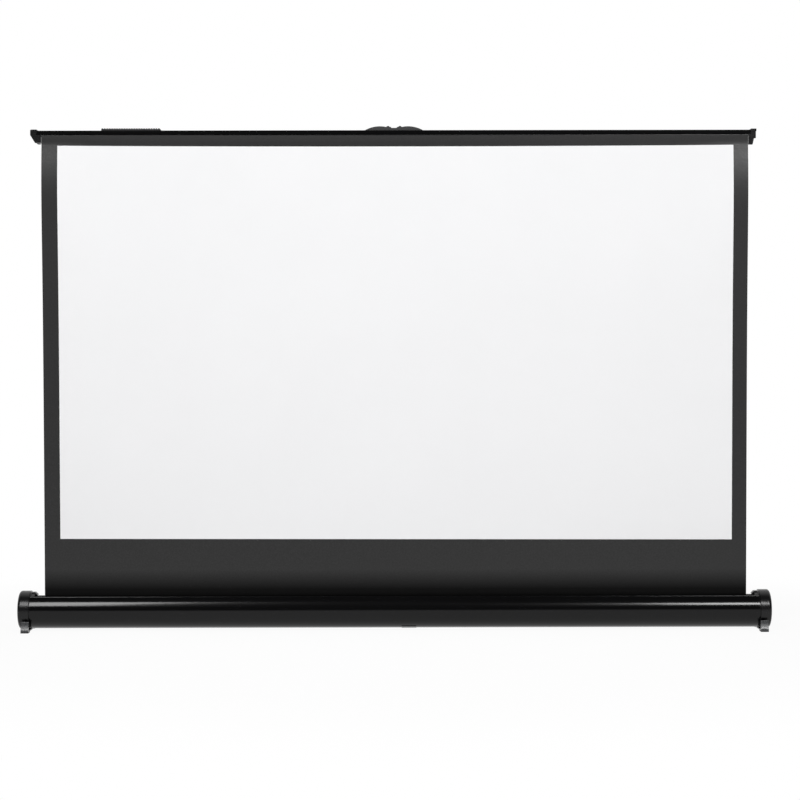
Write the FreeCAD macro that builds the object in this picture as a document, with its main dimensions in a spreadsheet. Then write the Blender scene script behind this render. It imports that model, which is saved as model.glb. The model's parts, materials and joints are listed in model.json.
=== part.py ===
"""Table-top pull-up projection screen, standing open.

The frame: +X to the viewer's right, the picture side faces -Y, +Z up. The origin is on
the table, under the middle of the casing. Millimetres and degrees.
"""
import FreeCAD, Part
import math
import os
import re
import Sketcher

SIZES = [
    # The casing, a round extrusion with a mouth along its top
    ("axis_height", 27, "table to the casing's axis"),
    ("tube_radius", 24, "outside of the casing tube"),
    ("tube_wall", 1.6, "wall of the casing tube"),
    ("mouth_front", 14.8, "front lip of the mouth before the casing's axis"),
    ("mouth_rear", 17, "rear lip of the mouth behind the casing's axis"),
    ("lip_radius", 1.1, "bead along each lip of the mouth"),
    ("plug_offset", 18.5, "middle of the casing plug, right of the centre"),
    ("plug_length", 19, "casing plug along the tube"),
    ("plug_height", 6.5, "casing plug around the tube"),
    ("plug_angle", 65, "casing plug below the horizontal front"),
    ("plug_proud", 0.4, "casing plug outside the tube"),
    ("plug_depth", 3, "casing plug from front to back"),
    # The end caps and the screws that hold them
    ("cap_radius", 25.1, "outside of an end cap"),
    ("cap_length", 15.9, "end cap along the casing"),
    ("cap_round", 3.5, "rounded outer edge of an end cap"),
    ("cap_rim", 3, "raised rim around the cap's face"),
    ("cap_recess", 1.6, "depth of the cap's face below its rim"),
    ("cap_seam", 1.5, "shadow gap between the cap's body and the tube"),
    ("cap_seam_deep", 1.2, "shadow gap below the tube's outside"),
    ("cap_flat", 23.1, "casing axis down to the flat that the foot turns under"),
    ("cap_screw_spread", 11, "cap screw from the casing's axis, front and back"),
    ("cap_screw_rise", 6, "cap screw above the casing's axis"),
    ("screw_radius", 1.5, "shank of the small screws"),
    ("screw_head_radius", 2.7, "head of the small screws"),
    ("screw_head", 1.4, "height of the small screws' heads"),
    ("cap_screw_bite", 4, "cap screw in the roller bracket"),
    # The roller brackets, with the catches that stand out of the mouth
    ("bracket_thick", 4.5, "roller bracket along the casing"),
    ("bracket_gap", 0.4, "roller bracket to the tube"),
    ("catch_top", 23.5, "casing axis up to the catch's crest"),
    ("catch_root", 20.5, "casing axis up to the foot of the catch's slope"),
    ("catch_crest", 4.4, "length of the catch's crest"),
    ("catch_reach", 7.5, "length of the catch with its slope"),
    ("catch_width", 8, "catch from front to back"),
    # The roller and its spring
    ("roller_back", 5.5, "roller axis behind the casing's axis"),
    ("roller_drop", 5.5, "roller axis below the casing's axis"),
    ("roller_radius", 9, "outside of the roller tube"),
    ("roller_wall", 1, "wall of the roller tube"),
    ("roller_margin", 1, "roller tube beyond the fabric, each end"),
    ("roller_play", 2.5, "roller plug's flange to the roller bracket"),
    ("plug_flange", 8.2, "roller plug's flange along the roller"),
    ("plug_spigot", 12, "roller plug inside the roller tube"),
    ("shaft_radius", 2.5, "spring shaft and gudgeon"),
    ("shaft_length", 240, "spring shaft from the roller bracket inwards"),
    ("gudgeon_length", 24, "gudgeon from the roller bracket inwards"),
    ("collar_radius", 6.4, "collar on the spring shaft"),
    ("collar_thick", 5, "collar along the spring shaft"),
    ("collar_gap", 1, "collar to the roller plug"),
    ("anchor_thick", 8, "spring anchor along the roller"),
    ("coil_radius", 5.2, "middle of the spring's wire from the shaft's axis"),
    ("coil_wire", 0.7, "radius of the spring's wire"),
    ("coil_turns", 24, "turns of the spring"),
    ("coil_gap", 0.3, "spring's end to the collar or the anchor"),
    ("running_gap", 0.05, "radial clearance of a pin or shaft that turns"),
    ("seat_gap", 0.02, "radial clearance of a pin or plug that is fixed"),
    # The fabric
    ("fabric_width", 917, "fabric with its side borders"),
    ("fabric_thick", 0.4, "fabric"),
    ("wound_thick", 1.2, "turns of fabric left on the roller"),
    ("fabric_clear", 0.3, "rising fabric to the turns on the roller"),
    # The folding support behind the fabric
    ("arm_length", 314.4, "pivot to pivot of each arm"),
    ("open_angle", 72, "arms above the horizontal, open"),
    ("arm_width", 9, "arm, edge to edge"),
    ("arm_thick", 3, "arm, front to back"),
    ("arm_gap", 0.6, "between the layers of arms"),
    ("arm_front", 2, "front of the lower arms before the casing's axis"),
    ("pivot_half", 18, "arm pivots from the middle of the screen"),
    ("pivot_rise", 15, "lower pivots above the casing's axis"),
    ("pin_radius", 2, "pivot and knee pins"),
    ("pin_head_radius", 3.2, "heads of the pins"),
    ("pin_head_gap", 0.2, "sunk pin head in its seat, all round"),
    ("knee_head", 0.6, "height of a knee pin's heads"),
    ("face_gap", 0.05, "between flat faces that turn on each other"),
    # The brackets that carry the arms
    ("plate_half", 27, "half the length of both arm brackets"),
    ("plate_thick", 1.2, "sheet of the base bracket"),
    ("plate_margin", 4.8, "bracket around the pivots, up and down"),
    ("shelf_clear", 1, "shelf of the base bracket below the folded arms"),
    ("ear_gap", 0.4, "base bracket's ear to the lower arms"),
    ("rear_flange", 7, "base bracket's rear flange below its shelf"),
    ("rivet_radius", 1.6, "rivets of the base bracket"),
    ("rivet_head_radius", 3, "heads of the rivets"),
    ("rivet_head", 0.8, "height of the rivets' heads"),
    ("rivet_spread", 20, "rivets from the middle of the screen"),
    ("cheek_thick", 2.5, "top bracket's cheek, front to back"),
    ("flange_thick", 1.5, "top bracket's flange"),
    ("flange_front", 6, "top bracket's flange before its cheek"),
    ("flange_back", 5.6, "top bracket's flange behind its cheek"),
    ("bracket_screw_spread", 22, "top bracket's screws from the middle"),
    # The top bar
    ("closed_bar_rise", 21.3, "casing axis up to the top bar, closed"),
    ("bar_overhang", 4.7, "top bar's extrusion beyond the fabric, each end"),
    ("bar_front", 13.5, "top bar before the casing's axis"),
    ("bar_rear", 15, "top bar behind the casing's axis"),
    ("bar_height", 5.1, "top bar, bottom to top"),
    ("bar_plate", 2, "top plate of the top bar"),
    ("bar_skirt", 1, "front and rear skirts of the top bar"),
    ("bar_edge", 0.6, "chamfer of the top bar's edges"),
    ("bar_groove_low", 2.3, "decorative groove above the bar's bottom"),
    ("bar_groove_high", 0.6, "width of the decorative groove"),
    ("bar_groove_deep", 0.4, "depth of the decorative groove"),
    ("rail_half", 1.6, "half the inside of the fabric rail"),
    ("rail_wall", 1.2, "rear wall of the fabric rail"),
    ("rail_lip", 0.8, "lips of the fabric rail"),
    ("rail_slot", 0.8, "half the slot of the fabric rail"),
    ("keder_radius", 1.1, "rod in the fabric's top hem"),
    # The top bar's end caps
    ("bar_cap_length", 7, "end cap beyond the extrusion"),
    ("bar_cap_rise", 1.4, "end cap's lip above the bar"),
    ("bar_cap_proud", 0.2, "end cap before and behind the bar"),
    ("bar_cap_under", 3.2, "end cap's lip above the bar's bottom"),
    ("bar_cap_neck", 1.4, "end cap beyond the extrusion, at its bottom"),
    ("bar_cap_slope", 1.1, "slope from the neck out to the lip"),
    ("skirt_inside", 2.2, "end cap's skirt inside the extrusion's end"),
    ("skirt_outside", 1.2, "end cap's skirt outside the extrusion's end"),
    ("skirt_drop", 10.5, "end cap's skirt below the bar"),
    ("skirt_half", 7.9, "half the skirt, front to back"),
    ("skirt_rib", 0.6, "ribs under the skirt"),
    ("tongue_length", 8, "end cap's tongue inside the bar"),
    ("tongue_gap", 0.3, "end cap's tongue in the bar"),
    # The grip and the ribbed pad on the top bar
    ("grip_half", 38, "half the length of the pull grip"),
    ("grip_depth", 22, "pull grip, front to back"),
    ("grip_rise", 4.4, "shoulders of the pull grip above the bar"),
    ("grip_arch", 40, "radius of the grip's long arches"),
    ("grip_bump_out", 10, "outer end of the grip's bump from the middle"),
    ("grip_bump_in", 5.5, "inner end of the grip's bump from the middle"),
    ("grip_bump_round", 2.6, "radius of the grip's bumps"),
    ("grip_notch_half", 3.7, "half the notch of the grip"),
    ("grip_notch_rise", 3.2, "bottom of the notch above the bar"),
    ("grip_screw_spread", 30, "grip screws from the middle"),
    ("grip_screw_back", 5, "grip screws behind the casing's axis"),
    ("grip_screw_bite", 0.8, "grip screws in the grip"),
    ("pad_start", 82.9, "outer end of the ribbed pad from the bar's left end"),
    ("pad_length", 76.8, "ribbed pad"),
    ("pad_pitch", 3.2, "spacing of the pad's ribs"),
    ("pad_depth", 14, "ribbed pad, front to back"),
    ("pad_base", 2.1, "ribbed pad under its ribs"),
    ("pad_rib", 1.5, "height of the pad's ribs"),
    ("pad_flank", 0.7, "slope of a rib, along the pad"),
    ("pad_crest", 1.1, "flat top of a rib, along the pad"),
    # The swivel feet
    ("foot_front", 29.5, "foot before and behind its pivot"),
    ("foot_inset", 5.45, "foot's pivot beyond the casing tube"),
    ("foot_width", 10, "foot, side to side"),
    ("foot_thick", 1.5, "foot's bar"),
    ("pad_thick", 1.3, "rubber pads under the foot"),
    ("pad_run", 12.5, "rubber pad along the foot"),
    ("toe_depth", 4.8, "raised toe at its root, front to back"),
    ("toe_top", 14.5, "top of the toe above the table"),
    ("toe_crest", 1.8, "raised toe at its top, front to back"),
    ("toe_step", 2.6, "upright front edge of the toe above the foot's bottom"),
    ("toe_curve", 40, "radius of the hollow in the toe's sloping front"),
    ("toe_screw_drop", 2.6, "toe screw below the toe's top"),
    ("toe_screw_radius", 1.5, "toe screw"),
    ("toe_screw_proud", 1.2, "toe screw before the top of the toe"),
    ("pivot_screw_radius", 2, "shank of the foot's pivot screw"),
    ("pivot_screw_head_radius", 4, "head of the foot's pivot screw"),
    ("pivot_screw_head", 0.8, "height of the pivot screw's head"),
    ("pivot_screw_bite", 9, "pivot screw in the end cap"),
    ("foot_washer_radius", 4.5, "washer between a foot and its cap"),
]

doc = FreeCAD.newDocument("projection_screen")
sheet = doc.addObject("Spreadsheet::Sheet", "Sizes")
for row, (alias, value, meaning) in enumerate(SIZES, start=1):
    sheet.set(f"A{row}", meaning)
    sheet.set(f"B{row}", str(value))
    sheet.setAlias(f"B{row}", alias)
doc.recompute()

NAMES = {alias for alias, value, meaning in SIZES}
X, Y, Z = (FreeCAD.Vector(1, 0, 0), FreeCAD.Vector(0, 1, 0), FreeCAD.Vector(0, 0, 1))


def tie(words):
    """A formula in the sheet's aliases, as the document's expressions write it."""
    return re.sub(r"[a-z_]+", lambda m: f"Sizes.{m[0]}" if m[0] in NAMES else m[0], str(words))


def value(words):
    return float(sheet.evalExpression(tie(words)))


# Places worked out from the sizes
ROLLER_Z = "(axis_height - roller_drop)"
ROLLER_END = "(fabric_width / 2 + roller_margin)"
ROLLER_LENGTH = f"(2 * {ROLLER_END})"
BRACKET_IN = f"({ROLLER_END} + plug_flange + roller_play)"
TUBE_END = f"({BRACKET_IN} + bracket_thick)"
TUBE_LENGTH = f"(2 * {TUBE_END})"
WOUND_RADIUS = "(roller_radius + wound_thick)"
FABRIC_Y = f"(roller_back - {WOUND_RADIUS} - fabric_clear - fabric_thick / 2)"
LOWER_Y = "(arm_thick / 2 - arm_front)"
UPPER_Y = f"({LOWER_Y} + arm_thick + arm_gap)"
CHEEK_Y = f"({UPPER_Y} + arm_thick / 2 + arm_gap)"
EAR_Y = "(0 - arm_front - ear_gap - plate_thick)"
PIVOT_Z = "(axis_height + pivot_rise)"
HALF_RISE = "(arm_length * sin(open_angle))"
KNEE_X = "(pivot_half + arm_length * cos(open_angle))"
KNEE_Z = f"({PIVOT_Z} + {HALF_RISE})"
TOP_PIVOT_Z = f"({KNEE_Z} + {HALF_RISE})"
SHELF_TOP = f"({PIVOT_Z} - arm_width / 2 - shelf_clear)"
REAR_WALL_Y = f"(sqrt((tube_radius - tube_wall) ^ 2 - ({SHELF_TOP} - axis_height) ^ 2) - seat_gap)"
BAR_Z = f"(axis_height + closed_bar_rise + 2 * {HALF_RISE})"
BAR_TOP = f"({BAR_Z} + bar_height)"
PLATE_Z = f"({BAR_TOP} - bar_plate)"
BAR_END = "(fabric_width / 2 + bar_overhang)"
BAR_LENGTH = f"(2 * {BAR_END})"
RAIL_Y = "(bar_skirt + rail_half - bar_front)"
FOOT_X = f"({TUBE_END} + foot_inset)"
FOOT_TOP = "(pad_thick + foot_thick)"


def bind(item, ties):
    for name, words in ties.items():
        item.setExpression(name, tie(words))
    return item


def seat(item, x, y, z):
    return bind(item, {"Placement.Base.x": x, "Placement.Base.y": y, "Placement.Base.z": z})


def box(x, y, z):
    """A block between two places on each axis."""
    item = doc.addObject("Part::Box", "Block")
    spans = zip(("Length", "Width", "Height"), (x, y, z))
    bind(item, {name: f"({high}) - ({low})" for name, (low, high) in spans})
    return seat(item, x[0], y[0], z[0])


def rod(axis, start, length, radius):
    """A round bar from a place along an axis."""
    item = doc.addObject("Part::Cylinder", "Rod")
    item.Placement.Rotation = FreeCAD.Rotation(Z, axis)
    bind(item, {"Radius": radius, "Height": length})
    return seat(item, *start)


def fuse(*pieces):
    item = doc.addObject("Part::MultiFuse", "Joined")
    item.Shapes = list(pieces)
    return item


def cut(base, *tools):
    item = doc.addObject("Part::Cut", "Cut")
    item.Base = base
    item.Tool = tools[0] if len(tools) == 1 else fuse(*tools)
    return item


def group(*pieces):
    item = doc.addObject("Part::Compound", "Group")
    item.Links = list(pieces)
    return item


def mirror(source):
    """The same piece on the other side of the screen's middle."""
    item = doc.addObject("Part::Mirroring", "Mirrored")
    item.Source = source
    item.Normal = X
    return item


def outline(body, plane, points, arcs=None):
    """A closed sketch through points held by the sheet, with arcs of a set radius.

    arcs gives, for the run that starts at a point, the radius and the side that it
    bulges to: 1 for the left of the run, -1 for the right.
    """
    arcs = arcs or {}
    sketch = body.newObject("Sketcher::SketchObject", "Outline")
    base = [item for item in body.Origin.OriginFeatures if item.Role == plane]
    sketch.AttachmentSupport = [(base[0], "")]
    sketch.MapMode = "FlatFace"
    places = [FreeCAD.Vector(value(x), value(y), 0) for x, y in points]
    count = len(places)
    ends = []
    for run, start in enumerate(places):
        end = places[(run + 1) % count]
        if run in arcs:
            radius, side = arcs[run]
            half = (end - start) * 0.5
            bulge = value(radius) - (value(radius) ** 2 - half.Length ** 2) ** 0.5
            left = FreeCAD.Vector(-half.y, half.x, 0).normalize()
            middle = start + half + left * bulge * side
            edge = (Part.Arc(end, middle, start) if side > 0 else Part.Arc(start, middle, end)).toShape()
            sketch.addGeometry(Part.ArcOfCircle(edge.Curve, *edge.ParameterRange))
            ends.append((2, 1) if side > 0 else (1, 2))
        else:
            sketch.addGeometry(Part.LineSegment(start, end))
            ends.append((1, 2))
    for run in range(count):
        after = (run + 1) % count
        sketch.addConstraint(Sketcher.Constraint("Coincident", run, ends[run][1], after, ends[after][0]))
    for run, (x, y) in enumerate(points):
        for kind, words, size in (("DistanceX", x, places[run].x), ("DistanceY", y, places[run].y)):
            number = sketch.addConstraint(Sketcher.Constraint(kind, -1, 1, run, ends[run][0], size))
            sketch.setExpression(f"Constraints[{number}]", tie(words))
    for run, (radius, side) in arcs.items():
        number = sketch.addConstraint(Sketcher.Constraint("Radius", run, value(radius)))
        sketch.setExpression(f"Constraints[{number}]", tie(radius))
    return sketch


def prism(plane, points, middle, thick, arcs=None):
    """A flat outline given a thickness, half to each side of its plane."""
    body = doc.addObject("PartDesign::Body", "Body")
    pad = body.newObject("PartDesign::Pad", "Thickness")
    pad.Profile = outline(body, plane, points, arcs)
    pad.SideType = "Symmetric"
    pad.setExpression("Length", tie(thick))
    return seat(body, *middle)


def turned(points, place, arcs=None):
    """A half section turned about the X axis."""
    body = doc.addObject("PartDesign::Body", "Body")
    turn = body.newObject("PartDesign::Revolution", "Turn")
    sketch = outline(body, "XY_Plane", points, arcs)
    turn.Profile = sketch
    turn.ReferenceAxis = (sketch, ["H_Axis"])
    return seat(body, *place)


nodes = {}


def node(label, item):
    item.Label = label
    nodes[label] = item
    return item


def rivets():
    """Rivets through the tube's rear wall and the base bracket's flange, and their holes."""
    start = f"{REAR_WALL_Y} - plate_thick"
    z = f"{SHELF_TOP} - plate_thick - rear_flange / 2"
    long = f"tube_radius - ({start})"
    pins = []
    holes = []
    for side in ("-", "+"):
        place = (f"{side}rivet_spread", start, z)
        head = rod(Y, (place[0], f"{start} - rivet_head", z), "rivet_head", "rivet_head_radius")
        pins.append(fuse(rod(Y, place, long, "rivet_radius"), head))
        holes.append(rod(Y, place, long, "rivet_radius + seat_gap"))
    node("base_bracket_rivets", group(*pins))
    return holes


def casing_tube(rivet_holes):
    """Extruded tube with a beaded mouth, and a hole for its plug."""
    outside = rod(X, (f"-{TUBE_END}", 0, "axis_height"), TUBE_LENGTH, "tube_radius")
    inside = rod(X, (f"-{TUBE_END}", 0, "axis_height"), TUBE_LENGTH, "tube_radius - tube_wall")
    ends = (f"-{TUBE_END}", TUBE_END)
    mouth = box(ends, ("-mouth_front", "mouth_rear"), ("axis_height", "axis_height + tube_radius"))
    lips = []
    for side, edge in (("-", "mouth_front"), ("+", "mouth_rear")):
        lip_z = f"axis_height + sqrt((tube_radius - tube_wall / 2) ^ 2 - {edge} ^ 2)"
        lips.append(rod(X, (f"-{TUBE_END}", f"{side}{edge}", lip_z), TUBE_LENGTH, "lip_radius"))
    shell = fuse(cut(outside, inside, mouth), *lips)
    node("casing_tube", cut(shell, plug_block("seat_gap", "plug_depth"), *rivet_holes))
    node("casing_plug", plug_block("0", "0"))


def plug_block(room, past):
    """Block on the plug's own slant, with room around it and a length past its outer face."""
    item = doc.addObject("Part::Box", "Block")
    item.Placement.Rotation = FreeCAD.Rotation(X, 0)
    slant = "(90 + plug_angle)"
    inner = "(tube_radius + plug_proud - plug_depth)"
    half = f"(plug_height / 2 + {room})"
    bind(item, {
        "Length": f"plug_length + 2 * {room}",
        "Width": f"2 * {half}",
        "Height": f"plug_depth + {past}",
        "Placement.Rotation.Angle": slant,
    })
    return seat(
        item,
        f"plug_offset - plug_length / 2 - {room}",
        f"-{half} * cos({slant}) - {inner} * sin({slant})",
        f"axis_height - {half} * sin({slant}) + {inner} * cos({slant})",
    )


def end_caps():
    """Moulded caps with a rimmed face and a flat for the foot, and their screws."""
    rim = "cap_radius - cap_round - cap_rim"
    face = "cap_length - cap_recess"
    seam = "tube_radius - cap_seam_deep"
    section = [
        ("0", "0"), (face, "0"), (face, rim), ("cap_length", rim), ("cap_length", "cap_radius - cap_round"),
        ("cap_length - cap_round", "cap_radius"), ("cap_seam", "cap_radius"), ("cap_seam", seam), ("0", seam),
    ]
    cap = turned(section, (TUBE_END, 0, "axis_height"), {4: ("cap_round", -1)})
    beyond = (TUBE_END, f"{TUBE_END} + cap_length")
    below = ("axis_height - cap_radius", "axis_height - cap_flat")
    flat = box(beyond, ("-cap_radius", "cap_radius"), below)
    pivot_place = (FOOT_X, 0, "axis_height - cap_flat")
    pivot = rod(Z, pivot_place, "pivot_screw_bite", "pivot_screw_radius + seat_gap")
    screws = []
    holes = []
    for side in ("-", "+"):
        place = (f"{side}cap_screw_spread", "axis_height + cap_screw_rise")
        head = rod(X, (f"{TUBE_END} + {face}", *place), "screw_head", "screw_head_radius")
        long = f"{face} + cap_screw_bite"
        start = (f"{TUBE_END} - cap_screw_bite", *place)
        screws.append(fuse(head, rod(X, start, long, "screw_radius")))
        holes.append(rod(X, start, long, "screw_radius + seat_gap"))
    right = node("right_end_cap", cut(cap, flat, pivot, *holes))
    node("left_end_cap", mirror(right))
    pair = group(*screws)
    node("end_cap_screws", group(pair, mirror(pair)))
    return holes


def roller_brackets(screw_holes):
    """Discs in the tube's ends that carry the roller; their catches stand out of the mouth."""
    disc_radius = "tube_radius - tube_wall - bracket_gap"
    disc = rod(X, (BRACKET_IN, 0, "axis_height"), "bracket_thick", disc_radius)
    crest = f"{TUBE_END} - catch_crest"
    tip = f"{TUBE_END} - catch_reach"
    root = "mouth_rear"
    side = [
        (BRACKET_IN, root), (TUBE_END, root), (TUBE_END, "catch_top"), (crest, "catch_top"),
        (tip, "catch_root"), (tip, "catch_root - lip_radius"), (BRACKET_IN, "catch_root - 2 * lip_radius"),
    ]
    catch = prism("XZ_Plane", side, (0, 0, "axis_height"), "catch_width")
    bore = rod(X, (BRACKET_IN, "roller_back", ROLLER_Z), "bracket_thick", "shaft_radius + seat_gap")
    right = node("right_roller_bracket", cut(fuse(disc, catch), bore, *screw_holes))
    node("left_roller_bracket", mirror(right))


def roller():
    """Roller tube on a plug at each end, with the turns of fabric left on it."""
    start = (f"-{ROLLER_END}", "roller_back", ROLLER_Z)
    bore = "roller_radius - roller_wall"
    tube = rod(X, start, ROLLER_LENGTH, "roller_radius")
    node("roller_tube", cut(tube, rod(X, start, ROLLER_LENGTH, bore)))
    flange = rod(X, (ROLLER_END, "roller_back", ROLLER_Z), "plug_flange", "roller_radius")
    place = (f"{ROLLER_END} - plug_spigot", "roller_back", ROLLER_Z)
    spigot = rod(X, place, "plug_spigot", f"{bore} - seat_gap")
    hole = rod(X, place, "plug_spigot + plug_flange", "shaft_radius + running_gap")
    right = node("right_roller_plug", cut(fuse(flange, spigot), hole))
    node("left_roller_plug", mirror(right))
    wound = ("-fabric_width / 2", "roller_back", ROLLER_Z)
    turns = rod(X, wound, "fabric_width", WOUND_RADIUS)
    node("fabric_winding", cut(turns, rod(X, wound, "fabric_width", "roller_radius + seat_gap")))


def spring():
    """Fixed shaft with a collar, the torsion spring around it and its anchor in the roller."""
    gudgeon_place = (f"{TUBE_END} - gudgeon_length", "roller_back", ROLLER_Z)
    node("roller_gudgeon", rod(X, gudgeon_place, "gudgeon_length", "shaft_radius"))
    shaft = rod(X, (f"-{TUBE_END}", "roller_back", ROLLER_Z), "shaft_length", "shaft_radius")
    collar_x = f"(plug_spigot + collar_gap - {ROLLER_END})"
    collar = rod(X, (collar_x, "roller_back", ROLLER_Z), "collar_thick", "collar_radius")
    node("spring_shaft", fuse(shaft, collar))
    anchor_x = f"shaft_length - anchor_thick - {TUBE_END}"
    anchor_place = (anchor_x, "roller_back", ROLLER_Z)
    anchor = rod(X, anchor_place, "anchor_thick", "roller_radius - roller_wall - seat_gap")
    hole = rod(X, anchor_place, "anchor_thick", "shaft_radius + running_gap")
    node("spring_anchor", cut(anchor, hole))
    coil = doc.addObject("Part::Feature", "Coil")
    first = value(f"{collar_x} + collar_thick + coil_gap + coil_wire")
    last = value(f"{anchor_x} - coil_gap - coil_wire")
    coil.Shape = coil_shape(last - first, value("coil_turns"), value("coil_radius"), value("coil_wire"))
    coil.Placement.Base = FreeCAD.Vector(first, value("roller_back"), value(ROLLER_Z))
    node("torsion_spring", coil)


def coil_shape(length, turns, radius, wire):
    """Round wire wound about the X axis, swept along two tangent arcs for each half turn."""
    halves = int(turns) * 2
    rate = length / (halves * math.pi)
    spots = []
    for step in range(halves + 1):
        side = 1 if step % 2 == 0 else -1
        way = FreeCAD.Vector(rate, -side * radius, 0).normalize()
        spots.append((FreeCAD.Vector(length * step / halves, 0, side * radius), way))
    edges = []
    for (start, way), (end, way_on) in zip(spots, spots[1:]):
        span = end - start
        ways = way + way_on
        square = 2 * (1 - way.dot(way_on))
        reach = (-span.dot(ways) + (span.dot(ways) ** 2 + square * span.dot(span)) ** 0.5) / square
        one = start + way * reach
        two = end - way_on * reach
        meet = (one + two) * 0.5
        for begin, corner, finish in ((start, one, meet), (meet, two, end)):
            edges.append(tangent_arc(begin, corner, finish).toShape())
    path = Part.Wire(edges)
    print("least gap between the spring's turns:", round(least_gap(path, halves, wire), 2))
    ring = Part.Wire(Part.makeCircle(wire, spots[0][0], spots[0][1]))
    return path.makePipeShell([ring], True, False)


def least_gap(path, halves, wire):
    """The closest that a wire comes to itself, measured on points half a turn apart or more."""
    per_half = 6
    points = path.discretize(Number=halves * per_half + 1)
    nearest = min(
        (one - other).Length for at, one in enumerate(points) for other in points[at + per_half:]
    )
    return nearest - 2 * wire


def tangent_arc(begin, corner, finish):
    """The arc that leaves along one side of a corner and arrives along the other."""
    half = (finish - begin) * 0.5
    middle = begin + half
    out = corner - middle
    leg = (corner - begin).Length
    return Part.Arc(begin, middle + out * (half.Length / (leg + half.Length)), finish)


def fabric():
    """The sheet from the roller, leaning forward to the rod in its top hem, and that rod."""
    keder_z = f"({PLATE_Z} - tongue_gap - keder_radius)"
    head = f"{keder_z} - keder_radius - seat_gap"
    side = [
        (f"{FABRIC_Y} - fabric_thick / 2", ROLLER_Z), (f"{FABRIC_Y} + fabric_thick / 2", ROLLER_Z),
        (f"{RAIL_Y} + fabric_thick / 2", head), (f"{RAIL_Y} - fabric_thick / 2", head),
    ]
    node("screen_fabric", prism("YZ_Plane", side, (0, 0, 0), "fabric_width"))
    node("keder_rod", rod(X, ("-fabric_width / 2", RAIL_Y, keder_z), "fabric_width", "keder_radius"))


def arm(place, angle, near_bore, far_bore, sunk_end, sunk_side):
    """Flat link with rounded ends; one pivot has a seat for a sunk pin head."""
    half = "arm_width / 2"
    edge = [
        ("0", f"-{half}"), ("arm_length", f"-{half}"), (f"arm_length + {half}", "0"),
        ("arm_length", half), ("0", half), (f"-{half}", "0"),
    ]
    body = doc.addObject("PartDesign::Body", "Arm")
    sketch = outline(body, "XZ_Plane", edge, {run: (half, -1) for run in (1, 2, 4, 5)})
    for at, radius in (("0", near_bore), ("arm_length", far_bore)):
        add_circle(sketch, at, radius)
    pad = body.newObject("PartDesign::Pad", "Link")
    pad.Profile = sketch
    pad.SideType = "Symmetric"
    pad.setExpression("Length", tie("arm_thick"))
    seat_sketch = body.newObject("Sketcher::SketchObject", "HeadSeat")
    seat_sketch.AttachmentSupport = sketch.AttachmentSupport
    seat_sketch.MapMode = "FlatFace"
    add_circle(seat_sketch, sunk_end, "pin_head_radius + pin_head_gap")
    pocket = body.newObject("PartDesign::Pocket", "Seat")
    pocket.Profile = seat_sketch
    pocket.Type = "ThroughAll"
    pocket.Reversed = sunk_side == "front"
    body.Placement.Rotation = FreeCAD.Rotation(-Y, 0)
    bind(body, {"Placement.Rotation.Angle": angle})
    return seat(body, *place)


def add_circle(sketch, along, radius):
    centre = FreeCAD.Vector(value(along), 0, 0)
    circle = sketch.addGeometry(Part.Circle(centre, Z, value(radius)))
    ties = (("DistanceX", along), ("DistanceY", "0"))
    for kind, words in ties:
        number = sketch.addConstraint(Sketcher.Constraint(kind, -1, 1, circle, 3, value(words)))
        sketch.setExpression(f"Constraints[{number}]", tie(words))
    number = sketch.addConstraint(Sketcher.Constraint("Radius", circle, value(radius)))
    sketch.setExpression(f"Constraints[{number}]", tie(radius))


def arms():
    """Two mirrored knees: each a lower and an upper arm, a knee pin and a washer."""
    runs = "pin_radius + running_gap"
    fixed = "pin_radius + seat_gap"
    lower = arm(("pivot_half", LOWER_Y, PIVOT_Z), "open_angle", runs, fixed, "0", "rear")
    upper = arm((KNEE_X, UPPER_Y, KNEE_Z), "180 - open_angle", runs, runs, "arm_length", "front")
    front = f"({LOWER_Y} - arm_thick / 2)"
    rear = f"({UPPER_Y} + arm_thick / 2 + face_gap)"
    stem = rod(Y, (KNEE_X, front, KNEE_Z), f"{rear} - {front}", "pin_radius")
    heads = [
        rod(Y, (KNEE_X, f"{front} - knee_head", KNEE_Z), "knee_head", "pin_head_radius"),
        rod(Y, (KNEE_X, rear, KNEE_Z), "knee_head - 2 * face_gap", "pin_head_radius"),
    ]
    layer = (KNEE_X, f"{LOWER_Y} + arm_thick / 2", KNEE_Z)
    disc = rod(Y, layer, "arm_gap - face_gap", "arm_width / 2 - pin_head_gap")
    washer = cut(disc, rod(Y, layer, "arm_gap", fixed))
    pieces = {"lower_arm": lower, "upper_arm": upper, "knee_pin": fuse(stem, *heads), "knee_washer": washer}
    for name, piece in pieces.items():
        node(f"right_{name}", piece)
        node(f"left_{name}", mirror(piece))


def pivot_pins(label, z, seat_y, head_start, head_end):
    """A pair of pins across the arms, each with a head sunk in its arm."""
    low = f"min({seat_y}; {head_start})"
    high = f"max({seat_y}; {head_end})"
    pins = []
    for side in ("-", "+"):
        stem = rod(Y, (f"{side}pivot_half", low, z), f"{high} - {low}", "pin_radius")
        head = rod(Y, (f"{side}pivot_half", head_start, z), f"{head_end} - ({head_start})", "pin_head_radius")
        pins.append(fuse(stem, head))
    node(label, group(*pins))


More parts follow.
